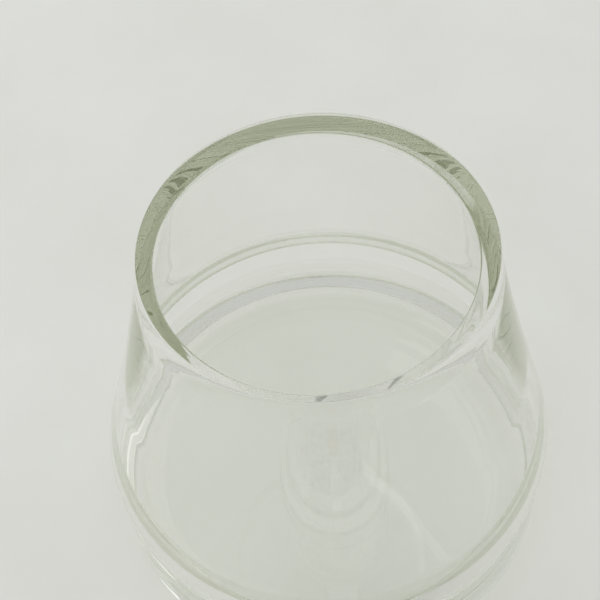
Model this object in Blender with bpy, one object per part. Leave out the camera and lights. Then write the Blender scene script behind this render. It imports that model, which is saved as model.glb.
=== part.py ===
"""Glass desiccator, in metres, +Z up, with its origin at the centre of the vessel's base.

The vessel stands open. Its lid lies upturned in front of it (-Y), standing on the flat top of
its knob, and holds the perforated porcelain plate and the silica gel canister. One hinge turns
the lid over onto the vessel's rim, and then the plate and the canister slide down to the floor.
"""
import math

import bmesh
import bpy
from mathutils import Vector

GAP = 0.0003  # clearance between pieces that touch
OVERCUT = 0.001  # how far a cutting tool runs past the sheet it cuts
ROUND = 48  # flat sides of a large turned surface
CAN_ROUND = 36  # flat sides of the canister

# vessel
VESSEL_H = 0.181
RIM_R = 0.070
BORE_R = 0.0623
BORE_SHIFT_X = -0.0010
BORE_SHIFT_Y = -0.0044
RIM_EDGE = 0.0006
RIM_LAND = 0.004  # straight height of the rim's outer edge
LIP_H = 0.0022
LIP_ROUND = 0.0006
WALL = 0.0033
NECK_END_Z = 0.1662
NECK_ROUND = 0.006
NECK_JOIN = 0.010  # from the neck's end down to the plain wall
NECK_SHIFT_Y = -0.0018
NECK_SHIFT_END_Z = 0.100
SHOULDER_R = 0.1066
SHOULDER_Z = 0.049
SHOULDER_ROUND = 0.009
SHOULDER_JOIN = 0.006  # from the shoulder up to the plain wall
FLARE_POWER = 1.15
FLARE_STEPS = 6
WAIST_R = 0.1056
WAIST_Z = 0.037
WAIST_ROUND = 0.010
BASE_R = 0.1082
BASE_CORNER = 0.006
LOWER_WALL = 0.0042
INNER_JOIN = 0.012  # from the shoulder up to the plain inner wall
INNER_SHOULDER_DROP = 0.004
INNER_SHOULDER_ROUND = 0.024
FLOOR_Z = 0.008
FLOOR_ROUND = 0.018
FLOOR_SPREAD = 0.001  # how much wider the inside is at the floor than at the shoulder

# lid, in its own frame: ground face at z = 0, knob towards +z
FLANGE_R = 0.070
FLANGE_H = 0.008
FLANGE_ROUND = 0.0015
FLANGE_FILLET = 0.003
LID_EDGE = 0.0008
LID_BORE_R = 0.0602
LID_WALL = 0.0042
DOME_R = 0.0625
DOME_Z = 0.022
DOME_RISE = 0.034
KNOB_NECK_R = 0.0095
KNOB_NECK_ROUND = 0.004
KNOB_NECK_H = 0.008  # above the crown, up to where the knob widens
KNOB_FOOT_R = 0.01425
KNOB_FOOT_H = 0.002
KNOB_FOOT_ROUND = 0.002
KNOB_R = 0.0195
KNOB_TOP_R = 0.0150
KNOB_TOP_ROUND = 0.003
KNOB_EDGE_DROP = 0.006  # widest part of the knob, down from its top
KNOB_EDGE_ROUND = 0.004
KNOB_UNDER_DROP = 0.012
KNOB_UNDER_ROUND = 0.005
LID_H = 0.084
LID_DISTANCE = 0.192

# silicone ring under the lid's ground face
SEAL_IN_R = 0.0618
SEAL_OUT_R = 0.0688
SEAL_H = 0.0015

# porcelain plate
PLATE_R = 0.055
PLATE_T = 0.006
PLATE_EDGE = 0.0015
PLATE_TOP_Z = 0.0302
PLATE_HOLE_R = 0.00275
CENTRE_HOLE_R = 0.004
HOLE_ROWS = ((6, 0.0145), (12, 0.0265), (15, 0.0388))
FEET = 3
FOOT_RING_R = 0.0482
FOOT_R = 0.0050
FOOT_TIP_R = 0.0042
FOOT_H = 0.024

# silica gel canister
CAN_R = 0.035
CAN_H = 0.016
CAN_SHEET = 0.0008
CAN_LIP_R = 0.0332
SCREEN_R = 0.0337
SCREEN_T = 0.0008
SCREEN_HOLE_R = 0.0016
SCREEN_ROWS = ((12, 0.0180), (18, 0.0265))
WINDOW_HOLE_R = 0.0080
WINDOW_R = 0.0105
WINDOW_T = 0.0012
CHARGE_R = 0.0330

HINGE_Y = -LID_DISTANCE / 2
CLOSED_Z = VESSEL_H + SEAL_H + 2 * GAP
HINGE_Z = (LID_H + CLOSED_Z) / 2


def clear_scene():
    for old in list(bpy.data.objects):
        bpy.data.objects.remove(old, do_unlink=True)


def material(name, colour, roughness, metallic=0.0, transmission=0.0):
    mat = bpy.data.materials.new(name)
    mat.use_nodes = True
    shader = mat.node_tree.nodes["Principled BSDF"]
    shader.inputs["Base Color"].default_value = (*colour, 1.0)
    shader.inputs["Roughness"].default_value = roughness
    shader.inputs["Metallic"].default_value = metallic
    shader.inputs["Transmission Weight"].default_value = transmission
    return mat


def rounded(corners, steps=2):
    """Outline through (r, z, radius) corners, each one with a radius turned into an arc."""
    points = []
    for i, (r, z, radius) in enumerate(corners):
        here = Vector((r, z))
        if radius == 0:
            points.append((r, z))
            continue
        back = (Vector(corners[i - 1][:2]) - here).normalized()
        ahead = (Vector(corners[(i + 1) % len(corners)][:2]) - here).normalized()
        half = back.angle(ahead) / 2
        reach = radius / math.tan(half)
        centre = here + (back + ahead).normalized() * (radius / math.sin(half))
        start = (here + back * reach - centre).normalized()
        end = (here + ahead * reach - centre).normalized()
        for k in range(steps + 1):
            point = centre + radius * start.slerp(end, k / steps)
            points.append((point.x, point.y))
    return points


def elliptic(radius, rise, base_z, from_deg, to_deg, steps):
    """Points of a dome's section: 0 degrees at its widest, 90 at its crown."""
    points = []
    for k in range(steps + 1):
        angle = math.radians(from_deg + (to_deg - from_deg) * k / steps)
        points.append((radius * math.cos(angle), base_z + rise * math.sin(angle)))
    return points


def flare(z):
    """Outer radius of the vessel's upper wall, which widens from the rim to the shoulder."""
    depth = max(0.0, (VESSEL_H - z) / (VESSEL_H - SHOULDER_Z))
    return RIM_R + (SHOULDER_R - RIM_R) * depth ** FLARE_POWER


def turned(name, outline, mat, sides=ROUND, shift=None):
    """Closed solid turned about Z from an outline of (r, z) points, a point at r = 0 on the axis."""
    bm = bmesh.new()
    rings = []
    for r, z in outline:
        x, y = shift(r, z) if shift else (0.0, 0.0)
        if r == 0:
            rings.append([bm.verts.new((0.0, 0.0, z))])
            continue
        ring = []
        for k in range(sides):
            angle = 2 * math.pi * k / sides
            ring.append(bm.verts.new((x + r * math.cos(angle), y + r * math.sin(angle), z)))
        rings.append(ring)
    closed = len(rings[0]) > 1
    last = len(rings) if closed else len(rings) - 1
    for i in range(last):
        one, two = rings[i], rings[(i + 1) % len(rings)]
        for k in range(sides):
            n = (k + 1) % sides
            if len(one) == 1:
                bm.faces.new((one[0], two[k], two[n]))
            elif len(two) == 1:
                bm.faces.new((one[k], two[0], one[n]))
            else:
                bm.faces.new((one[k], two[k], two[n], one[n]))
    bmesh.ops.recalc_face_normals(bm, faces=bm.faces)
    return finish(name, bm, mat)


def finish(name, bm, mat):
    mesh = bpy.data.meshes.new(name)
    bm.to_mesh(mesh)
    bm.free()
    mesh.shade_smooth()
    mesh.set_sharp_from_angle(angle=math.radians(32))
    mesh.materials.append(mat)
    obj = bpy.data.objects.new(name, mesh)
    bpy.context.collection.objects.link(obj)
    return obj


def posts(name, places, sides):
    """Upright round posts, each (x, y, low z, low radius, high z, high radius), as one tool."""
    bm = bmesh.new()
    for x, y, low, low_r, high, high_r in places:
        rings = []
        for z, radius in ((low, low_r), (high, high_r)):
            ring = []
            for k in range(sides):
                angle = 2 * math.pi * (k + 0.5) / sides
                ring.append(bm.verts.new((x + radius * math.cos(angle), y + radius * math.sin(angle), z)))
            rings.append(ring)
        bm.faces.new(rings[0])
        bm.faces.new(rings[1])
        for k in range(sides):
            n = (k + 1) % sides
            bm.faces.new((rings[0][k], rings[0][n], rings[1][n], rings[1][k]))
    bmesh.ops.recalc_face_normals(bm, faces=bm.faces)
    mesh = bpy.data.meshes.new(name)
    bm.to_mesh(mesh)
    bm.free()
    tool = bpy.data.objects.new(name, mesh)
    bpy.context.collection.objects.link(tool)
    tool.hide_render = True
    tool.display_type = "WIRE"
    return tool


def combine(obj, tool, operation):
    tool.parent = obj
    step = obj.modifiers.new(tool.name, "BOOLEAN")
    step.operation = operation
    step.solver = "EXACT"
    step.object = tool


def ring_places(rows):
    """Centres of holes in rings: rows of (count, ring radius)."""
    places = []
    for count, radius in rows:
        for k in range(count):
            angle = 2 * math.pi * (k + 0.5) / count
            places.append((radius * math.cos(angle), radius * math.sin(angle)))
    return places


def make_vessel(mat):
    outline = [(0.0, 0.0)]
    outline += rounded([(0.0, 0.0, 0), (BASE_R, 0.0, BASE_CORNER), (WAIST_R, WAIST_Z, 0)], 3)[1:-1]
    flare_low_z = SHOULDER_Z + SHOULDER_JOIN
    flare_high_z = VESSEL_H - RIM_LAND
    outline += rounded([
        (BASE_R, BASE_CORNER, 0),
        (WAIST_R, WAIST_Z, WAIST_ROUND),
        (SHOULDER_R, SHOULDER_Z, SHOULDER_ROUND),
        (flare(flare_low_z), flare_low_z, 0),
    ])[1:]
    for k in range(1, FLARE_STEPS):
        z = flare_low_z + (flare_high_z - flare_low_z) * k / FLARE_STEPS
        outline.append((flare(z), z))
    inner_high_z = NECK_END_Z - NECK_JOIN
    outline += rounded([
        (RIM_R, flare_high_z, 0),
        (RIM_R, VESSEL_H, RIM_EDGE),
        (BORE_R, VESSEL_H, RIM_EDGE),
        (BORE_R, VESSEL_H - LIP_H, LIP_ROUND),
        (flare(NECK_END_Z) - WALL, NECK_END_Z, NECK_ROUND),
        (flare(inner_high_z) - WALL, inner_high_z, 0),
    ])
    inner_low_z = SHOULDER_Z + INNER_JOIN
    for k in range(1, FLARE_STEPS):
        z = inner_high_z + (inner_low_z - inner_high_z) * k / FLARE_STEPS
        outline.append((flare(z) - WALL, z))
    inner_r = WAIST_R - LOWER_WALL
    outline += rounded([
        (flare(inner_low_z) - WALL, inner_low_z, 0),
        (inner_r, SHOULDER_Z - INNER_SHOULDER_DROP, INNER_SHOULDER_ROUND),
        (inner_r + FLOOR_SPREAD, FLOOR_Z, FLOOR_ROUND),
        (0.0, FLOOR_Z, 0),
    ])[1:]

    def bore_shift(r, z):
        """How far the inside is off the axis: most at the rim, nothing half-way down."""
        if z < NECK_SHIFT_END_Z or r > flare(z) - WALL / 2:
            return 0.0, 0.0
        if z > NECK_END_Z:
            part = (z - NECK_END_Z) / (VESSEL_H - NECK_END_Z)
            return BORE_SHIFT_X * part, NECK_SHIFT_Y + (BORE_SHIFT_Y - NECK_SHIFT_Y) * part
        return 0.0, NECK_SHIFT_Y * (z - NECK_SHIFT_END_Z) / (NECK_END_Z - NECK_SHIFT_END_Z)

    return turned("vessel", outline, mat, shift=bore_shift)


def make_lid(mat):
    dome_top = DOME_Z + DOME_RISE
    foot_deg = math.degrees(math.acos(KNOB_FOOT_R / DOME_R))
    outline = [(0.0, LID_H)]
    outline += rounded([
        (0.0, LID_H, 0),
        (KNOB_TOP_R, LID_H, KNOB_TOP_ROUND),
        (KNOB_R, LID_H - KNOB_EDGE_DROP, KNOB_EDGE_ROUND),
        (KNOB_R, LID_H - KNOB_UNDER_DROP, KNOB_UNDER_ROUND),
        (KNOB_NECK_R, dome_top + KNOB_NECK_H, KNOB_NECK_ROUND),
        (KNOB_NECK_R, dome_top + KNOB_FOOT_H, KNOB_FOOT_ROUND),
        (KNOB_FOOT_R, DOME_Z + DOME_RISE * math.sin(math.radians(foot_deg)), 0),
    ])[1:-1]
    outline += elliptic(DOME_R, DOME_RISE, DOME_Z, foot_deg, 0.0, 6)
    outline += rounded([
        (DOME_R, DOME_Z, 0),
        (DOME_R, FLANGE_H, FLANGE_FILLET),
        (FLANGE_R, FLANGE_H, FLANGE_ROUND),
        (FLANGE_R, 0.0, LID_EDGE),
        (LID_BORE_R, 0.0, LID_EDGE),
        (DOME_R - LID_WALL, DOME_Z, 0),
    ])[1:-1]
    outline += elliptic(DOME_R - LID_WALL, DOME_RISE - LID_WALL, DOME_Z, 0.0, 90.0, 7)[:-1]
    outline.append((0.0, dome_top - LID_WALL))
    return turned("lid", outline, mat)


def make_seal(mat):
    top = -GAP
    low = top - SEAL_H
    return turned("seal_ring", [
        (SEAL_OUT_R, top), (SEAL_OUT_R, low), (SEAL_IN_R, low), (SEAL_IN_R, top),
    ], mat)


def make_plate(mat):
    under = PLATE_TOP_Z - PLATE_T
    outline = [(0.0, PLATE_TOP_Z)]
    outline += rounded([
        (0.0, PLATE_TOP_Z, 0),
        (PLATE_R, PLATE_TOP_Z, PLATE_EDGE),
        (PLATE_R, under, PLATE_EDGE),
        (0.0, under, 0),
    ])[1:]
    plate = turned("porcelain_plate", outline, mat)
    feet = []
    for k in range(FEET):
        angle = 2 * math.pi * (k + 0.25) / FEET
        x, y = FOOT_RING_R * math.cos(angle), FOOT_RING_R * math.sin(angle)
        feet.append((x, y, under - FOOT_H, FOOT_TIP_R, under + PLATE_T / 2, FOOT_R))
    combine(plate, posts("plate_feet_tool", feet, 12), "UNION")
    cut_low, cut_high = under - OVERCUT, PLATE_TOP_Z + OVERCUT
    holes = [(0.0, 0.0, cut_low, CENTRE_HOLE_R, cut_high, CENTRE_HOLE_R)]
    for x, y in ring_places(HOLE_ROWS):
        holes.append((x, y, cut_low, PLATE_HOLE_R, cut_high, PLATE_HOLE_R))
    combine(plate, posts("plate_holes_tool", holes, 8), "DIFFERENCE")
    return plate


def make_screen(name, low, mat, window):
    high = low + SCREEN_T
    inner_r = WINDOW_HOLE_R if window else 0.0
    outline = [(inner_r, high), (SCREEN_R, high), (SCREEN_R, low), (inner_r, low)]
    screen = turned(name, outline, mat, CAN_ROUND)
    holes = []
    for x, y in ring_places(SCREEN_ROWS):
        holes.append((x, y, low - OVERCUT, SCREEN_HOLE_R, high + OVERCUT, SCREEN_HOLE_R))
    combine(screen, posts(name + "_holes_tool", holes, 6), "DIFFERENCE")
    return screen


def make_canister(metal, screen_metal, gel, clear):
    """Canister under the plate, its front screen and window facing away from the plate."""
    top = PLATE_TOP_Z - PLATE_T - GAP
    low = top - CAN_H
    inner_r = CAN_R - CAN_SHEET
    band = turned("canister_band", [
        (CAN_R, top), (CAN_R, low), (CAN_LIP_R, low), (CAN_LIP_R, low + CAN_SHEET),
        (inner_r, low + CAN_SHEET), (inner_r, top - CAN_SHEET),
        (CAN_LIP_R, top - CAN_SHEET), (CAN_LIP_R, top),
    ], metal, CAN_ROUND)
    front_z = low + CAN_SHEET + GAP
    front = make_screen("front_screen", front_z, screen_metal, True)
    rear_z = top - CAN_SHEET - GAP - SCREEN_T
    rear = make_screen("rear_screen", rear_z, screen_metal, False)
    window_z = front_z + SCREEN_T + GAP
    window = turned("indicator_window", [
        (0.0, window_z + WINDOW_T), (WINDOW_R, window_z + WINDOW_T),
        (WINDOW_R, window_z), (0.0, window_z),
    ], clear, 24)
    charge_z = window_z + WINDOW_T + GAP
    charge = turned("desiccant_charge", [
        (0.0, rear_z - GAP), (CHARGE_R, rear_z - GAP), (CHARGE_R, charge_z), (0.0, charge_z),
    ], gel, CAN_ROUND)
    return [band, front, rear, window, charge]


def main():
    clear_scene()
    glass = material("clear_glass", (0.90, 0.93, 0.90), 0.02, transmission=1.0)
    lid_glass = material("lid_glass", (0.91, 0.94, 0.91), 0.02, transmission=1.0)
    silicone = material("silicone", (0.82, 0.83, 0.80), 0.45)
    porcelain = material("porcelain", (0.90, 0.89, 0.85), 0.12)
    metal = material("canister_metal", (0.74, 0.75, 0.76), 0.32, metallic=1.0)
    screen_metal = material("screen_metal", (0.78, 0.79, 0.80), 0.28, metallic=1.0)
    gel = material("silica_gel", (0.85, 0.38, 0.07), 0.35)
    clear = material("window_plastic", (0.92, 0.94, 0.94), 0.05, transmission=1.0)

    make_vessel(glass)
    hinge = bpy.data.objects.new("lid_hinge_axis", None)
    hinge.location = (0.0, HINGE_Y, HINGE_Z)
    bpy.context.collection.objects.link(hinge)
    lid_side = [make_lid(lid_glass), make_seal(silicone), make_plate(porcelain)]
    lid_side += make_canister(metal, screen_metal, gel, clear)
    for piece in lid_side:
        piece.parent = hinge
        piece.location = (0.0, -LID_DISTANCE - HINGE_Y, LID_H - HINGE_Z)
        piece.rotation_euler = (math.pi, 0.0, 0.0)


main()
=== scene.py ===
"""Looks of the glass desiccator: blown glass, porcelain, sheet metal and silica gel beads."""

import math
import random

import bmesh
import bpy
from mathutils import Matrix, Vector, noise


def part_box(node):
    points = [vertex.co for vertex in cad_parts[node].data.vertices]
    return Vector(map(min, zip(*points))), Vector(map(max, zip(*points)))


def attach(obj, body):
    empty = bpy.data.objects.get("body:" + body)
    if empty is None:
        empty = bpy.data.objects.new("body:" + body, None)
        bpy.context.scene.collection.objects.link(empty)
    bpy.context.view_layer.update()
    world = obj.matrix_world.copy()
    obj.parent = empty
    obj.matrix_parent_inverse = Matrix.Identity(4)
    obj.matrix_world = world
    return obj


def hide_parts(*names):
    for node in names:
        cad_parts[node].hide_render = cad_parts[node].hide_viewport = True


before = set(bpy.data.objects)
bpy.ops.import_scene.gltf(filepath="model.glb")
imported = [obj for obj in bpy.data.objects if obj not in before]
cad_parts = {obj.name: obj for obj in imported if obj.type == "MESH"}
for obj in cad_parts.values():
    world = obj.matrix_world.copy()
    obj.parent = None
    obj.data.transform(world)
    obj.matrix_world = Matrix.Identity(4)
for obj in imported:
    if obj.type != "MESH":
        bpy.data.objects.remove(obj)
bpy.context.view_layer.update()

VESSEL_LOW, VESSEL_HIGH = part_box("vessel")
LID_LOW, LID_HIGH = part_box("lid")
VESSEL_H = VESSEL_HIGH.z
LID_H = LID_HIGH.z
LID_Y = (LID_LOW.y + LID_HIGH.y) / 2
BASE_R = VESSEL_HIGH.x

# vessel: the frame's driving sizes, with finer rounding
VESSEL_SIDES = 256
RIM_R = 0.070
RIM_EDGE = 0.0004
RIM_LAND = 0.004  # straight height of the rim's outer edge
BORE_R = 0.0623
BORE_SHIFT_X = -0.0010
BORE_SHIFT_Y = -0.0044
LIP_H = 0.0022
LIP_ROUND = 0.0006
WALL = 0.0033
WALL_STEPS = 26
FLARE_POWER = 1.15
NECK_END_Z = 0.1662
NECK_ROUND = 0.012
NECK_JOIN = 0.010  # from the neck's end down to the plain wall
NECK_SHIFT_Y = -0.0018
NECK_SHIFT_END_Z = 0.100
SHOULDER_R = 0.1066
SHOULDER_Z = 0.049
SHOULDER_ROUND = 0.014
SHOULDER_JOIN = 0.006  # from the shoulder up to the plain wall
WAIST_R = 0.1056
WAIST_Z = 0.037
WAIST_ROUND = 0.016
BASE_CORNER = 0.006
BASE_CORNER_OUT = 0.0004  # how far the unrounded corner stands out
BASE_WALL_OUT = 0.0001
BASE_WALL_Z = 0.008
BASE_RINGS = (0.0, 0.02, 0.04, 0.06, 0.08, 0.095)
LOWER_WALL = 0.0042
INNER_JOIN = 0.012  # from the shoulder up to the plain inner wall
INNER_SHOULDER_DROP = 0.004
INNER_SHOULDER_ROUND = 0.030
FLOOR_Z = 0.008
FLOOR_ROUND = 0.020
FLOOR_SPREAD = 0.001  # how much wider the inside is at the floor than at the shoulder
FLOOR_RINGS = (0.05, 0.042, 0.034, 0.026, 0.018, 0.010, 0.004)

# unevenness of the blown vessel's inside
LEVEL = 0.0001  # heights closer than this are the same
SWIRL_DEPTH = 0.0006
SWIRL_REGULAR = 0.5  # height of the regular waves, against 1 for the noise
SWIRL_MOST = SWIRL_REGULAR + 1.0  # taken off, so that the floor only sinks
SWIRL_WAVES = 130.0  # radians for each metre outwards
SWIRL_TWIST = 1.5
SWIRL_NOISE = 30.0
SWIRL_END_R = 0.098
WAVE_SHARE = 0.0018
WAVE_NOISE = 13.0
WAVE_STRETCH = 0.4  # upright, so that the waves run up and down
WAVE_FADE = 0.02  # height under the neck in which the waves die out

# lid, in its own frame: ground face at z = 0, knob towards +z
LID_SIDES = 224
LID_EDGE = 0.0008
FLANGE_R = 0.070
FLANGE_H = 0.008
FLANGE_ROUND = 0.0015
FLANGE_FILLET = 0.003
LID_BORE_R = 0.0602
LID_WALL = 0.0042
DOME_R = 0.0625
DOME_Z = 0.022
DOME_RISE = 0.034
CROWN_DEG = 88.0
DOME_WAVE = 0.0012
DOME_NOISE = 22.0
DOME_WAVE_LOW = 0.002  # above the flange
DOME_WAVE_OUT = 0.001  # past the dome's radius
GROUND_FACE_Z = 0.00001  # faces lower than this are the ground face
KNOB_NECK_R = 0.0095
KNOB_CLEAR_R = KNOB_NECK_R * 1.6  # nearer the axis than this, the glass is true
KNOB_NECK_H = 0.008  # above the crown, up to where the knob widens
KNOB_NECK_ROUND = 0.004
KNOB_FOOT_R = KNOB_NECK_R * 1.5
KNOB_FOOT_H = 0.002
KNOB_FOOT_ROUND = 0.002
KNOB_R = 0.0195
KNOB_EDGE_DROP = 0.006  # widest part of the knob, down from its top
KNOB_EDGE_ROUND = 0.004
KNOB_UNDER_DROP = 0.012
KNOB_UNDER_ROUND = 0.005
KNOB_TOP_R = 0.0150
KNOB_TOP_ROUND = 0.003
KNOB_CENTRE_R = 0.006

# what lies in the upturned lid, in the lid's frame
SEAL_LOW, SEAL_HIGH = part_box("seal_ring")
SEAL_IN_R = 0.0618
SEAL_EDGE = 0.0003
SEAL_ROUND = 0.0005
GROOVE_HALF = 0.0012
GROOVE_DEPTH = 0.0004
PLATE_LOW, PLATE_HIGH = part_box("porcelain_plate")
PLATE_R = PLATE_HIGH.x
PLATE_T = 0.006
PLATE_EDGE = 0.0015
OVERCUT = 0.0005  # how far a cutting tool runs past the sheet it cuts
CUT_SHARP = 38  # angle in degrees past which an edge of a cut piece stays hard
HOLE_R = 0.00275
HOLE_FLARE = 0.0005
CENTRE_HOLE_R = 0.004
HOLE_ROWS = ((6, 0.0145), (12, 0.0265), (15, 0.0388))
FEET = 3
FEET_TURN = 0.25  # of the angle from one foot to the next
FOOT_RING_R = 0.0482
FOOT_R = 0.0050
FOOT_TAPER = 0.0003
FOOT_FLARE = 0.0008
FOOT_JOIN = 0.002  # above and below the plate's underside
FOOT_TIP_R = 0.0042
FOOT_TIP_ROUND = 0.0012
BAND_LOW, BAND_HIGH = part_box("canister_band")
CAN_R = BAND_HIGH.x
CAN_ROUND = 0.0012
CAN_LIP_R = 0.0332
CAN_LIP_EDGE = 0.0003
CAN_LIP_UNDER_EDGE = 0.0002
CAN_SHEET = 0.0008
METAL_DARKER = 0.9  # the darkest clouds in the sheet metal, against its colour
WINDOW_HOLE_R = 0.0080
WINDOW_EDGE = 0.0003
SHEET_ROWS = ((18, 0.0125), (24, 0.0165), (30, 0.0205), (36, 0.0245), (42, 0.0285))
SHEET_HOLE_R = 0.0011
SHEET_EDGE = 0.0002
SHEET_CENTRE_R = 0.004
BEAD_R = 0.00125
BEAD_SMALLEST = 0.86
BEAD_PITCH = BEAD_R * 2.02
BEAD_ROW = 0.866  # height of a row of close-packed beads, in pitches
BEAD_STRAY = 0.00012
BEAD_LIFT = 0.0004
BEAD_SEED = 7
GEL_TOP_EDGE = 0.0005
GEL_LOW_EDGE = 0.0008

# faintly green glass: what a long way through it takes out
GLASS_TINT = (0.797, 0.814, 0.725)
GLASS_DENSITY = 13.0
GLASS_IOR = 1.50
# share of light that crosses a glass surface on its way to the table
CLEAR_SHADE = 0.985
LID_SHADE = 0.90
GREEN_CAST = 0.005

# surface grain: noise scale, noise detail, bump strength and bump depth
CLEAR_GRAIN = (28.0, 2.0, 0.02, 0.001)
GROUND_GRAIN = (900.0, 3.0, 0.25, 0.0002)
GROUND_ROUGHNESS = 0.42
NOISE_ROUGHNESS = 0.55

# camera, relative to the rim's centre
CAMERA_ELEVATION = 54.8
CAMERA_ROLL = -4.8
CAMERA_DISTANCE = 0.3826
CAMERA_SIDE = -0.00826
CAMERA_UP = -0.0214
CAMERA_LENS = 60.0
CAMERA_NEAR = 0.01

# table and light: a pale room with two large soft lamps
TABLE_HALF = 12.0
TABLE_Z = -0.0003
ROOM_COLOUR = (0.96, 0.965, 0.955, 1.0)
ROOM_STRENGTH = 0.64
LAMP_COLOUR = (1.0, 0.99, 0.96)
LIGHT_AIM = Vector((0.0, -0.04, 0.08))
BOUNCES = 200  # light runs round inside the thick rim many times
CLEAR_BOUNCES = 32


# ---------------------------------------------------------------- camera, floor and light

def make_camera():
    tilt = math.radians(CAMERA_ELEVATION)
    roll = math.radians(CAMERA_ROLL)
    ahead = Vector((0.0, math.cos(tilt), -math.sin(tilt)))
    level_up = Vector((0.0, math.sin(tilt), math.cos(tilt)))
    level_right = Vector((1.0, 0.0, 0.0))
    place = Vector((0.0, 0.0, VESSEL_H)) - ahead * CAMERA_DISTANCE
    place += level_right * CAMERA_SIDE + level_up * CAMERA_UP
    right = level_right * math.cos(roll) + level_up * math.sin(roll)
    up = level_up * math.cos(roll) - level_right * math.sin(roll)
    turn = Matrix((right, up, -ahead)).transposed().to_4x4()
    data = bpy.data.cameras.new("camera")
    data.lens = CAMERA_LENS
    data.clip_start = CAMERA_NEAR
    camera = bpy.data.objects.new("camera", data)
    camera.matrix_world = Matrix.Translation(place) @ turn
    bpy.context.scene.collection.objects.link(camera)
    bpy.context.scene.camera = camera


def nodes_of(name):
    mat = bpy.data.materials.new(name)
    mat.use_nodes = True
    tree = mat.node_tree
    return mat, tree, tree.nodes["Principled BSDF"]


def noise_node(tree, scale, detail):
    coords = tree.nodes.new("ShaderNodeTexCoord")
    tex = tree.nodes.new("ShaderNodeTexNoise")
    tex.inputs["Scale"].default_value = scale
    tex.inputs["Detail"].default_value = detail
    tex.inputs["Roughness"].default_value = NOISE_ROUGHNESS
    tree.links.new(coords.outputs["Object"], tex.inputs["Vector"])
    return tex


def ramp(tree, source, stops):
    node = tree.nodes.new("ShaderNodeValToRGB")
    ends = node.color_ramp.elements
    while len(ends) < len(stops):
        ends.new(0.5)
    for element, (place, colour) in zip(ends, stops):
        element.position = place
        element.color = (*colour, 1.0)
    tree.links.new(source, node.inputs["Fac"])
    return node.outputs["Color"]


def add_bump(tree, shader, height, strength, distance):
    bump = tree.nodes.new("ShaderNodeBump")
    bump.inputs["Strength"].default_value = strength
    bump.inputs["Distance"].default_value = distance
    tree.links.new(height, bump.inputs["Height"])
    tree.links.new(bump.outputs["Normal"], shader.inputs["Normal"])


def floor_material():
    mat, tree, shader = nodes_of("pale_floor")
    cloud = noise_node(tree, scale=9.0, detail=5.0)
    stops = [(0.3, (0.71, 0.715, 0.685)), (0.7, (0.75, 0.757, 0.732))]
    tree.links.new(ramp(tree, cloud.outputs["Fac"], stops), shader.inputs["Base Color"])
    shader.inputs["Roughness"].default_value = 0.6
    shader.inputs["Specular IOR Level"].default_value = 0.2
    return mat


def make_stage():
    bm = bmesh.new()
    corners = []
    for x, y in ((-1, -1), (1, -1), (1, 1), (-1, 1)):
        corners.append(bm.verts.new((x * TABLE_HALF, y * TABLE_HALF, TABLE_Z)))
    bm.faces.new(corners)
    mesh = bpy.data.meshes.new("floor")
    bm.to_mesh(mesh)
    bm.free()
    mesh.materials.append(floor_material())
    floor = bpy.data.objects.new("floor", mesh)
    bpy.context.scene.collection.objects.link(floor)


def area_light(name, place, size, power, mirrored):
    """A soft lamp; one that isn't mirrored lights the scene, but shows in no reflection."""
    data = bpy.data.lights.new(name, "AREA")
    data.shape = "RECTANGLE"
    data.size, data.size_y = size
    data.energy = power
    data.color = LAMP_COLOUR
    light = bpy.data.objects.new(name, data)
    light.location = place
    light.visible_glossy = mirrored
    light.visible_transmission = mirrored
    light.rotation_euler = (LIGHT_AIM - Vector(place)).to_track_quat("-Z", "Y").to_euler()
    bpy.context.scene.collection.objects.link(light)


def make_lights():
    world = bpy.data.worlds.new("studio")
    world.use_nodes = True
    back = world.node_tree.nodes["Background"]
    back.inputs["Color"].default_value = ROOM_COLOUR
    back.inputs["Strength"].default_value = ROOM_STRENGTH
    bpy.context.scene.world = world
    area_light("window_left", place=(-1.5, 0.1, 1.7), size=(2.8, 2.2), power=23.0, mirrored=False)
    area_light("window_right", place=(1.3, 1.2, 1.3), size=(1.8, 1.8), power=8.0, mirrored=True)


# ---------------------------------------------------------------- turned shapes

def rounded(corners, steps):
    """Outline through (r, z, radius) corners, each one with a radius turned into an arc."""
    points = []
    for i, (r, z, radius) in enumerate(corners):
        here = Vector((r, z))
        if radius == 0:
            points.append((r, z))
            continue
        back = (Vector(corners[i - 1][:2]) - here).normalized()
        ahead = (Vector(corners[(i + 1) % len(corners)][:2]) - here).normalized()
        half = back.angle(ahead) / 2
        reach = radius / math.tan(half)
        centre = here + (back + ahead).normalized() * (radius / math.sin(half))
        start = (here + back * reach - centre).normalized()
        end = (here + ahead * reach - centre).normalized()
        for k in range(steps + 1):
            point = centre + radius * start.slerp(end, k / steps)
            points.append((point.x, point.y))
    return points


def elliptic(radius, rise, base_z, from_deg, to_deg, steps):
    points = []
    for k in range(steps + 1):
        angle = math.radians(from_deg + (to_deg - from_deg) * k / steps)
        points.append((radius * math.cos(angle), base_z + rise * math.sin(angle)))
    return points


def turned_mesh(outline, sides, warp=None):
    """bmesh turned about Z from (r, z) points; warp moves each point a little."""
    bm = bmesh.new()
    rings = []
    for r, z in outline:
        count = 1 if r == 0 else sides
        ring = []
        for k in range(count):
            angle = 2 * math.pi * k / sides
            place = Vector((r * math.cos(angle), r * math.sin(angle), z))
            if warp:
                place = warp(place)
            ring.append(bm.verts.new(place))
        rings.append(ring)
    last = len(rings) if len(rings[0]) > 1 else len(rings) - 1
    for i in range(last):
        one, two = rings[i], rings[(i + 1) % len(rings)]
        for k in range(sides):
            n = (k + 1) % sides
            if len(one) == 1:
                bm.faces.new((one[0], two[k], two[n]))
            elif len(two) == 1:
                bm.faces.new((one[k], two[0], one[n]))
            else:
                bm.faces.new((one[k], two[k], two[n], one[n]))
    bmesh.ops.recalc_face_normals(bm, faces=bm.faces)
    return bm


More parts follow.
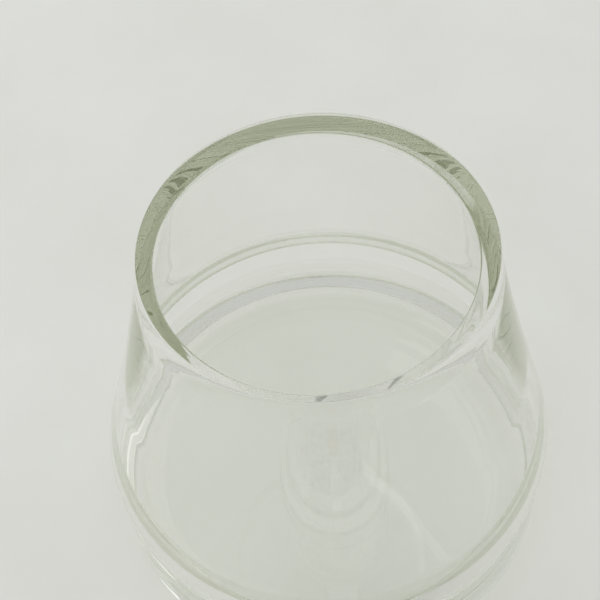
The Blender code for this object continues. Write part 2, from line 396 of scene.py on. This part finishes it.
def place_piece(name, bm, mats, sharp=CUT_SHARP):
    """Object smoothly shaded, but with hard edges where faces meet at more than sharp degrees."""
    mesh = bpy.data.meshes.new(name)
    bm.to_mesh(mesh)
    bm.free()
    mesh.shade_smooth()
    mesh.set_sharp_from_angle(angle=math.radians(sharp))
    for mat in mats:
        mesh.materials.append(mat)
    obj = bpy.data.objects.new(name, mesh)
    bpy.context.scene.collection.objects.link(obj)
    return obj


def stand_for(obj, node, body):
    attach(obj, body)
    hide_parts(node)


# ---------------------------------------------------------------- glass

def glass_material(name, shade, grain, roughness):
    """Glass whose absorption gives long paths their green."""
    mat, tree, shader = nodes_of(name)
    shader.inputs["Base Color"].default_value = (1.0, 1.0, 1.0, 1.0)
    shader.inputs["Transmission Weight"].default_value = 1.0
    shader.inputs["Roughness"].default_value = roughness
    shader.inputs["IOR"].default_value = GLASS_IOR
    scale, detail, strength, distance = grain
    waves = noise_node(tree, scale, detail)
    add_bump(tree, shader, waves.outputs["Fac"], strength, distance)
    inside = tree.nodes.new("ShaderNodeVolumeAbsorption")
    inside.inputs["Color"].default_value = (*GLASS_TINT, 1.0)
    inside.inputs["Density"].default_value = GLASS_DENSITY
    tree.links.new(inside.outputs["Volume"], tree.nodes["Material Output"].inputs["Volume"])
    let_light_through(tree, shader, shade)
    return mat


def let_light_through(tree, shader, shade):
    """Lamps and diffuse light cross the glass unbent, so that the table under it stays bright."""
    path = tree.nodes.new("ShaderNodeLightPath")
    either = tree.nodes.new("ShaderNodeMath")
    either.operation = "MAXIMUM"
    clear = tree.nodes.new("ShaderNodeBsdfTransparent")
    clear.inputs["Color"].default_value = (shade, shade + GREEN_CAST, shade - GREEN_CAST, 1.0)
    mix = tree.nodes.new("ShaderNodeMixShader")
    tree.links.new(path.outputs["Is Shadow Ray"], either.inputs[0])
    tree.links.new(path.outputs["Is Diffuse Ray"], either.inputs[1])
    tree.links.new(either.outputs["Value"], mix.inputs["Fac"])
    tree.links.new(shader.outputs["BSDF"], mix.inputs[1])
    tree.links.new(clear.outputs["BSDF"], mix.inputs[2])
    tree.links.new(mix.outputs["Shader"], tree.nodes["Material Output"].inputs["Surface"])


def flare(z):
    depth = (VESSEL_H - z) / (VESSEL_H - SHOULDER_Z)
    return RIM_R + (SHOULDER_R - RIM_R) * depth ** FLARE_POWER


def vessel_outline():
    """Section of the vessel: along the base, up the outside, over the rim, down the inside."""
    flat_r = BASE_RINGS[-1]
    outline = [(r, 0.0) for r in BASE_RINGS]
    outline += rounded([
        (flat_r, 0.0, 0),
        (BASE_R + BASE_CORNER_OUT, 0.0, BASE_CORNER),
        (WAIST_R, WAIST_Z, 0),
    ], steps=10)[1:-1]
    flare_low_z = SHOULDER_Z + SHOULDER_JOIN
    flare_high_z = VESSEL_H - RIM_LAND
    outline += rounded([
        (BASE_R + BASE_WALL_OUT, BASE_WALL_Z, 0),
        (WAIST_R, WAIST_Z, WAIST_ROUND),
        (SHOULDER_R, SHOULDER_Z, SHOULDER_ROUND),
        (flare(flare_low_z), flare_low_z, 0),
    ], steps=8)[1:]
    for k in range(1, WALL_STEPS):
        z = flare_low_z + (flare_high_z - flare_low_z) * k / WALL_STEPS
        outline.append((flare(z), z))
    inner_high_z = NECK_END_Z - NECK_JOIN
    outline += rounded([
        (RIM_R, flare_high_z, 0),
        (RIM_R, VESSEL_H, RIM_EDGE),
        (BORE_R, VESSEL_H, LIP_ROUND),
        (BORE_R, VESSEL_H - LIP_H, LIP_ROUND),
        (flare(NECK_END_Z) - WALL, NECK_END_Z, NECK_ROUND),
        (flare(inner_high_z) - WALL, inner_high_z, 0),
    ], steps=6)
    inner_low_z = SHOULDER_Z + INNER_JOIN
    for k in range(1, WALL_STEPS):
        z = inner_high_z + (inner_low_z - inner_high_z) * k / WALL_STEPS
        outline.append((flare(z) - WALL, z))
    inner_r = WAIST_R - LOWER_WALL
    outline += rounded([
        (flare(inner_low_z) - WALL, inner_low_z, 0),
        (inner_r, SHOULDER_Z - INNER_SHOULDER_DROP, INNER_SHOULDER_ROUND),
        (inner_r + FLOOR_SPREAD, FLOOR_Z, FLOOR_ROUND),
        (FLOOR_RINGS[0], FLOOR_Z, 0),
    ], steps=10)[1:]
    outline += [(r, FLOOR_Z) for r in FLOOR_RINGS[1:]]
    outline.append((0.0, FLOOR_Z))
    return outline


def bore_shift(z):
    """How far the inside is off the vessel's axis: most at the rim, nothing half-way down."""
    if z > NECK_END_Z:
        part = (z - NECK_END_Z) / (VESSEL_H - NECK_END_Z)
        shift_y = NECK_SHIFT_Y + (BORE_SHIFT_Y - NECK_SHIFT_Y) * part
        return Vector((BORE_SHIFT_X * part, shift_y, 0.0))
    part = max(0.0, (z - NECK_SHIFT_END_Z) / (NECK_END_Z - NECK_SHIFT_END_Z))
    return Vector((0.0, NECK_SHIFT_Y * part, 0.0))


def blown(place):
    """Uneven inside of the vessel: a swirled floor, wavy walls and a bore off the axis."""
    r = math.hypot(place.x, place.y)
    outer = flare(place.z) if place.z > SHOULDER_Z else WAIST_R
    if place.z < FLOOR_Z - LEVEL or r > outer - WALL / 2:
        return place
    if place.z < FLOOR_Z + LEVEL:
        angle = math.atan2(place.y, place.x)
        swirl = math.sin(r * SWIRL_WAVES + SWIRL_TWIST * angle) * SWIRL_REGULAR
        swirl += noise.noise(place * SWIRL_NOISE)
        fade = max(0.0, 1.0 - r / SWIRL_END_R)
        place.z += SWIRL_DEPTH * fade * (swirl - SWIRL_MOST)
        return place
    if place.z < NECK_END_Z:
        wave = noise.noise(Vector((place.x, place.y, place.z * WAVE_STRETCH)) * WAVE_NOISE)
        scale = 1.0 + WAVE_SHARE * wave * min(1.0, (NECK_END_Z - place.z) / WAVE_FADE)
        place.x *= scale
        place.y *= scale
    return place + bore_shift(place.z)


def make_vessel():
    glass = glass_material("vessel_glass", CLEAR_SHADE, CLEAR_GRAIN, roughness=0.0)
    bm = turned_mesh(vessel_outline(), VESSEL_SIDES, blown)
    vessel = place_piece("blown_vessel", bm, [glass], sharp=50)
    stand_for(vessel, "vessel", "vessel")


# ---------------------------------------------------------------- lid side

def in_lid(world_z):
    """Height of a world z in the lid's own frame, which lies upside down."""
    return LID_H - world_z


def turn_over(bm):
    """Moves a piece from the lid's own frame to where the upturned lid lies."""
    place = Matrix.Translation((0.0, LID_Y, LID_H)) @ Matrix.Rotation(math.pi, 4, "X")
    bmesh.ops.transform(bm, matrix=place, verts=bm.verts)
    return bm


def lid_outline():
    """Section of the lid: from the knob's top down the outside, and up the inside."""
    dome_top = DOME_Z + DOME_RISE
    foot_deg = math.degrees(math.acos(KNOB_FOOT_R / DOME_R))
    outline = [(0.0, LID_H), (KNOB_CENTRE_R, LID_H)]
    outline += rounded([
        (0.0, LID_H, 0),
        (KNOB_TOP_R, LID_H, KNOB_TOP_ROUND),
        (KNOB_R, LID_H - KNOB_EDGE_DROP, KNOB_EDGE_ROUND),
        (KNOB_R, LID_H - KNOB_UNDER_DROP, KNOB_UNDER_ROUND),
        (KNOB_NECK_R, dome_top + KNOB_NECK_H, KNOB_NECK_ROUND),
        (KNOB_NECK_R, dome_top + KNOB_FOOT_H, KNOB_FOOT_ROUND),
        (KNOB_FOOT_R, DOME_Z + DOME_RISE * math.sin(math.radians(foot_deg)), 0),
    ], steps=7)[1:-1]
    outline += elliptic(DOME_R, DOME_RISE, DOME_Z, foot_deg, 0.0, steps=28)
    outline += rounded([
        (DOME_R, DOME_Z, 0),
        (DOME_R, FLANGE_H, FLANGE_FILLET),
        (FLANGE_R, FLANGE_H, FLANGE_ROUND),
        (FLANGE_R, 0.0, LID_EDGE),
        (LID_BORE_R, 0.0, LID_EDGE),
        (DOME_R - LID_WALL, DOME_Z, 0),
    ], steps=6)[1:-1]
    outline += elliptic(DOME_R - LID_WALL, DOME_RISE - LID_WALL, DOME_Z, 0.0, CROWN_DEG, steps=30)
    outline.append((0.0, dome_top - LID_WALL))
    return outline


def lid_wave(place):
    """The dome's walls vary a little, as blown glass does."""
    r = math.hypot(place.x, place.y)
    if place.z < FLANGE_H + DOME_WAVE_LOW or r < KNOB_CLEAR_R or r > DOME_R + DOME_WAVE_OUT:
        return place
    scale = 1.0 - DOME_WAVE * (1.0 + noise.noise(place * DOME_NOISE))
    return Vector((place.x * scale, place.y * scale, place.z))


def make_lid():
    clear = glass_material("dome_glass", LID_SHADE, CLEAR_GRAIN, roughness=0.0)
    ground = glass_material("ground_glass", LID_SHADE, GROUND_GRAIN, GROUND_ROUGHNESS)
    bm = turned_mesh(lid_outline(), LID_SIDES, lid_wave)
    for face in bm.faces:
        if max(v.co.z for v in face.verts) < GROUND_FACE_Z:
            face.material_index = 1
    lid = place_piece("domed_lid", turn_over(bm), [clear, ground], sharp=50)
    stand_for(lid, "lid", "lid")


def make_seal():
    mat, tree, shader = nodes_of("silicone_ring")
    cloud = noise_node(tree, scale=60.0, detail=3.0)
    stops = [(0.3, (0.80, 0.81, 0.78)), (0.7, (0.86, 0.87, 0.85))]
    tree.links.new(ramp(tree, cloud.outputs["Fac"], stops), shader.inputs["Base Color"])
    shader.inputs["Roughness"].default_value = 0.42
    shader.inputs["Subsurface Weight"].default_value = 0.3
    shader.inputs["Subsurface Scale"].default_value = 0.003
    dust = noise_node(tree, scale=1400.0, detail=2.0)
    add_bump(tree, shader, dust.outputs["Fac"], strength=0.12, distance=0.0001)
    outer, top, low = SEAL_HIGH.x, in_lid(SEAL_LOW.z), in_lid(SEAL_HIGH.z)
    middle = (outer + SEAL_IN_R) / 2
    outline = rounded([
        (outer, top, SEAL_EDGE),
        (outer, low, SEAL_ROUND),
        (middle + GROOVE_HALF, low, SEAL_EDGE),
        (middle, low + GROOVE_DEPTH, GROOVE_DEPTH),
        (middle - GROOVE_HALF, low, SEAL_EDGE),
        (SEAL_IN_R, low, SEAL_ROUND),
        (SEAL_IN_R, top, SEAL_EDGE),
    ], steps=4)
    seal = place_piece("flat_seal", turn_over(turned_mesh(outline, sides=192)), [mat], sharp=40)
    stand_for(seal, "seal_ring", "lid")


def many_posts(posts, sides):
    """One tool of round posts, each (x, y, [(z, radius), ...]) from low to high."""
    bm = bmesh.new()
    for x, y, steps in posts:
        rings = []
        for z, radius in steps:
            ring = []
            for k in range(sides):
                angle = 2 * math.pi * (k + 0.5) / sides
                place = (x + radius * math.cos(angle), y + radius * math.sin(angle), z)
                ring.append(bm.verts.new(place))
            rings.append(ring)
        bm.faces.new(rings[0])
        bm.faces.new(rings[-1])
        for one, two in zip(rings, rings[1:]):
            for k in range(sides):
                n = (k + 1) % sides
                bm.faces.new((one[k], one[n], two[n], two[k]))
    bmesh.ops.recalc_face_normals(bm, faces=bm.faces)
    return bm


def combine(obj, bm, operation):
    """Applies a Boolean with the tool in bm, which is then gone."""
    tool = place_piece("tool", bm, [])
    step = obj.modifiers.new("tool", "BOOLEAN")
    step.operation = operation
    step.solver = "EXACT"
    step.object = tool
    shaped = obj.evaluated_get(bpy.context.evaluated_depsgraph_get())
    mesh = bpy.data.meshes.new_from_object(shaped)
    obj.modifiers.clear()
    obj.data = mesh
    bpy.data.objects.remove(tool, do_unlink=True)
    mesh.shade_smooth()
    mesh.set_sharp_from_angle(angle=math.radians(CUT_SHARP))


def hole_posts(rows, low, high, radius, flare_by):
    """Holes in rings whose mouths widen by flare_by, as in a glazed or pressed sheet."""
    posts = []
    for count, ring in rows:
        for k in range(count):
            angle = 2 * math.pi * (k + 0.5) / count
            steps = hole_steps(low, high, radius, flare_by)
            posts.append((ring * math.cos(angle), ring * math.sin(angle), steps))
    return posts


def hole_steps(low, high, radius, flare_by):
    wide = radius + flare_by
    over = wide + OVERCUT
    return [
        (low - OVERCUT, over),
        (low, wide),
        (low + flare_by, radius),
        (high - flare_by, radius),
        (high, wide),
        (high + OVERCUT, over),
    ]


def porcelain_material():
    mat, tree, shader = nodes_of("glazed_porcelain")
    cloud = noise_node(tree, scale=35.0, detail=4.0)
    stops = [(0.25, (0.84, 0.825, 0.78)), (0.75, (0.90, 0.89, 0.86))]
    tree.links.new(ramp(tree, cloud.outputs["Fac"], stops), shader.inputs["Base Color"])
    shader.inputs["Roughness"].default_value = 0.16
    shader.inputs["Coat Weight"].default_value = 0.6
    shader.inputs["Coat Roughness"].default_value = 0.05
    shader.inputs["Subsurface Weight"].default_value = 0.12
    shader.inputs["Subsurface Scale"].default_value = 0.002
    peel = noise_node(tree, scale=240.0, detail=2.0)
    add_bump(tree, shader, peel.outputs["Fac"], strength=0.08, distance=0.0003)
    return mat


def make_plate():
    top, tip = in_lid(PLATE_LOW.z), in_lid(PLATE_HIGH.z)
    under = top - PLATE_T
    outline = [(0.0, top)]
    outline += rounded([
        (0.0, top, 0),
        (PLATE_R, top, PLATE_EDGE),
        (PLATE_R, under, PLATE_EDGE),
        (0.0, under, 0),
    ], steps=6)[1:]
    plate = place_piece("footed_plate", turned_mesh(outline, sides=128), [porcelain_material()])
    feet = []
    for k in range(FEET):
        angle = 2 * math.pi * (k + FEET_TURN) / FEET
        steps = [
            (tip, FOOT_TIP_R - FOOT_TIP_ROUND),
            (tip + FOOT_TIP_ROUND / 3, FOOT_TIP_R - FOOT_TIP_ROUND / 3),
            (tip + FOOT_TIP_ROUND, FOOT_TIP_R),
            (under - FOOT_JOIN, FOOT_R - FOOT_TAPER),
            (under - FOOT_FLARE, FOOT_R),
            (under + FOOT_JOIN, FOOT_R + FOOT_FLARE),
        ]
        feet.append((FOOT_RING_R * math.cos(angle), FOOT_RING_R * math.sin(angle), steps))
    combine(plate, many_posts(feet, sides=32), "UNION")
    holes = hole_posts(HOLE_ROWS, under, top, HOLE_R, HOLE_FLARE)
    holes.append((0.0, 0.0, hole_steps(under, top, CENTRE_HOLE_R, HOLE_FLARE)))
    combine(plate, many_posts(holes, sides=24), "DIFFERENCE")
    turn_object(plate)
    stand_for(plate, "porcelain_plate", "plate")


def turn_object(obj):
    bm = bmesh.new()
    bm.from_mesh(obj.data)
    turn_over(bm).to_mesh(obj.data)
    bm.free()


def sheet_metal(name, colour, rough_low, rough_high):
    """Aluminium sheet: fine roughness clouds and a faint rolling grain."""
    mat, tree, shader = nodes_of(name)
    shader.inputs["Metallic"].default_value = 1.0
    tone = noise_node(tree, scale=80.0, detail=5.0)
    darker = tuple(c * METAL_DARKER for c in colour)
    tones = ramp(tree, tone.outputs["Fac"], [(0.3, darker), (0.7, colour)])
    tree.links.new(tones, shader.inputs["Base Color"])
    rub = noise_node(tree, scale=420.0, detail=4.0)
    gloss = ramp(tree, rub.outputs["Fac"], [(0.3, (rough_low,) * 3), (0.7, (rough_high,) * 3)])
    tree.links.new(gloss, shader.inputs["Roughness"])
    grain = noise_node(tree, scale=1800.0, detail=2.0)
    add_bump(tree, shader, grain.outputs["Fac"], strength=0.06, distance=0.0001)
    return mat


def make_band():
    top, low = in_lid(BAND_LOW.z), in_lid(BAND_HIGH.z)
    inner = CAN_R - CAN_SHEET
    outline = rounded([
        (CAN_R, top, CAN_ROUND),
        (CAN_R, low, CAN_ROUND),
        (CAN_LIP_R, low, CAN_LIP_EDGE),
        (CAN_LIP_R, low + CAN_SHEET, CAN_LIP_UNDER_EDGE),
        (inner, low + CAN_SHEET, CAN_LIP_EDGE),
        (inner, top - CAN_SHEET, CAN_LIP_EDGE),
        (CAN_LIP_R, top - CAN_SHEET, CAN_LIP_UNDER_EDGE),
        (CAN_LIP_R, top, CAN_LIP_EDGE),
    ], steps=4)
    metal = sheet_metal("band_metal", (0.74, 0.75, 0.76), rough_low=0.26, rough_high=0.38)
    band = place_piece("rolled_band", turn_over(turned_mesh(outline, sides=144)), [metal], sharp=35)
    stand_for(band, "canister_band", "canister")


def make_screen(name, node, window, metal):
    low_corner, high_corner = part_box(node)
    top, low = in_lid(low_corner.z), in_lid(high_corner.z)
    radius = high_corner.x
    inner = WINDOW_HOLE_R if window else 0.0
    outline = [(inner, top)] if window else [(0.0, top), (SHEET_CENTRE_R, top)]
    outline += rounded([
        (inner, top, 0),
        (radius, top, SHEET_EDGE),
        (radius, low, SHEET_EDGE),
        (inner, low, 0),
    ], steps=2)[1:-1]
    outline += [(inner, low)] if window else [(SHEET_CENTRE_R, low), (0.0, low)]
    screen = place_piece(name, turned_mesh(outline, sides=96), [metal])
    holes = hole_posts(SHEET_ROWS, low, top, SHEET_HOLE_R, SHEET_EDGE)
    combine(screen, many_posts(holes, sides=12), "DIFFERENCE")
    turn_object(screen)
    stand_for(screen, node, "canister")


def make_window():
    low_corner, high_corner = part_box("indicator_window")
    top, low, radius = in_lid(low_corner.z), in_lid(high_corner.z), high_corner.x
    mat, tree, shader = nodes_of("clear_window")
    shader.inputs["Transmission Weight"].default_value = 1.0
    shader.inputs["IOR"].default_value = 1.49
    rub = noise_node(tree, scale=300.0, detail=3.0)
    haze = ramp(tree, rub.outputs["Fac"], [(0.4, (0.01,) * 3), (0.8, (0.06,) * 3)])
    tree.links.new(haze, shader.inputs["Roughness"])
    let_light_through(tree, shader, CLEAR_SHADE)
    outline = [(0.0, top)]
    outline += rounded([
        (0.0, top, 0),
        (radius, top, WINDOW_EDGE),
        (radius, low, WINDOW_EDGE),
        (0.0, low, 0),
    ], steps=3)[1:]
    disc = place_piece("window_disc", turn_over(turned_mesh(outline, sides=72)), [mat], sharp=35)
    stand_for(disc, "indicator_window", "canister")


def gel_material():
    mat, tree, shader = nodes_of("orange_gel")
    tone = noise_node(tree, scale=330.0, detail=2.0)
    stops = [(0.30, (0.60, 0.17, 0.02)), (0.50, (0.85, 0.33, 0.05)), (0.72, (0.93, 0.52, 0.14))]
    tree.links.new(ramp(tree, tone.outputs["Fac"], stops), shader.inputs["Base Color"])
    shader.inputs["Roughness"].default_value = 0.22
    shader.inputs["Subsurface Weight"].default_value = 0.35
    shader.inputs["Subsurface Scale"].default_value = 0.0015
    shader.inputs["Coat Weight"].default_value = 0.3
    return mat


def make_gel():
    """A bed of beads under the front screen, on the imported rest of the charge."""
    low_corner, high_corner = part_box("desiccant_charge")
    top, low, radius = in_lid(low_corner.z), in_lid(high_corner.z), high_corner.x
    picker = random.Random(BEAD_SEED)
    core_low = low + BEAD_R
    outline = [(0.0, top), (radius / 2, top)]
    outline += rounded([
        (0.0, top, 0),
        (radius, top, GEL_TOP_EDGE),
        (radius, core_low, GEL_LOW_EDGE),
        (0.0, core_low, 0),
    ], steps=2)[1:-1]
    outline += [(radius / 2, core_low), (0.0, core_low)]
    bm = turned_mesh(outline, sides=72)
    rows = int(radius / (BEAD_PITCH * BEAD_ROW)) + 1
    for j in range(-rows, rows + 1):
        for i in range(-rows, rows + 1):
            x = (i + 0.5 * (j % 2)) * BEAD_PITCH + picker.uniform(-BEAD_STRAY, BEAD_STRAY)
            y = j * BEAD_PITCH * BEAD_ROW + picker.uniform(-BEAD_STRAY, BEAD_STRAY)
            size = BEAD_R * picker.uniform(BEAD_SMALLEST, 1.0)
            if math.hypot(x, y) > radius - size:
                continue
            place = Matrix.Translation((x, y, low + BEAD_R + picker.uniform(0.0, BEAD_LIFT)))
            bmesh.ops.create_icosphere(bm, subdivisions=2, radius=size, matrix=place)
    beads = place_piece("gel_beads", turn_over(bm), [gel_material()], sharp=40)
    stand_for(beads, "desiccant_charge", "canister")


make_camera()
make_stage()
make_lights()
make_vessel()
make_lid()
make_seal()
make_plate()
make_band()
screen_metal = sheet_metal("perforated_metal", (0.79, 0.80, 0.81), rough_low=0.22, rough_high=0.34)
make_screen("front_sheet", "front_screen", window=True, metal=screen_metal)
make_screen("rear_sheet", "rear_screen", window=False, metal=screen_metal)
make_window()
make_gel()

look = bpy.context.scene
look.view_settings.view_transform = "Standard"
look.cycles.max_bounces = BOUNCES
look.cycles.transmission_bounces = BOUNCES
look.cycles.glossy_bounces = BOUNCES
look.cycles.transparent_max_bounces = CLEAR_BOUNCES
look.cycles.caustics_refractive = True
look.cycles.caustics_reflective = True
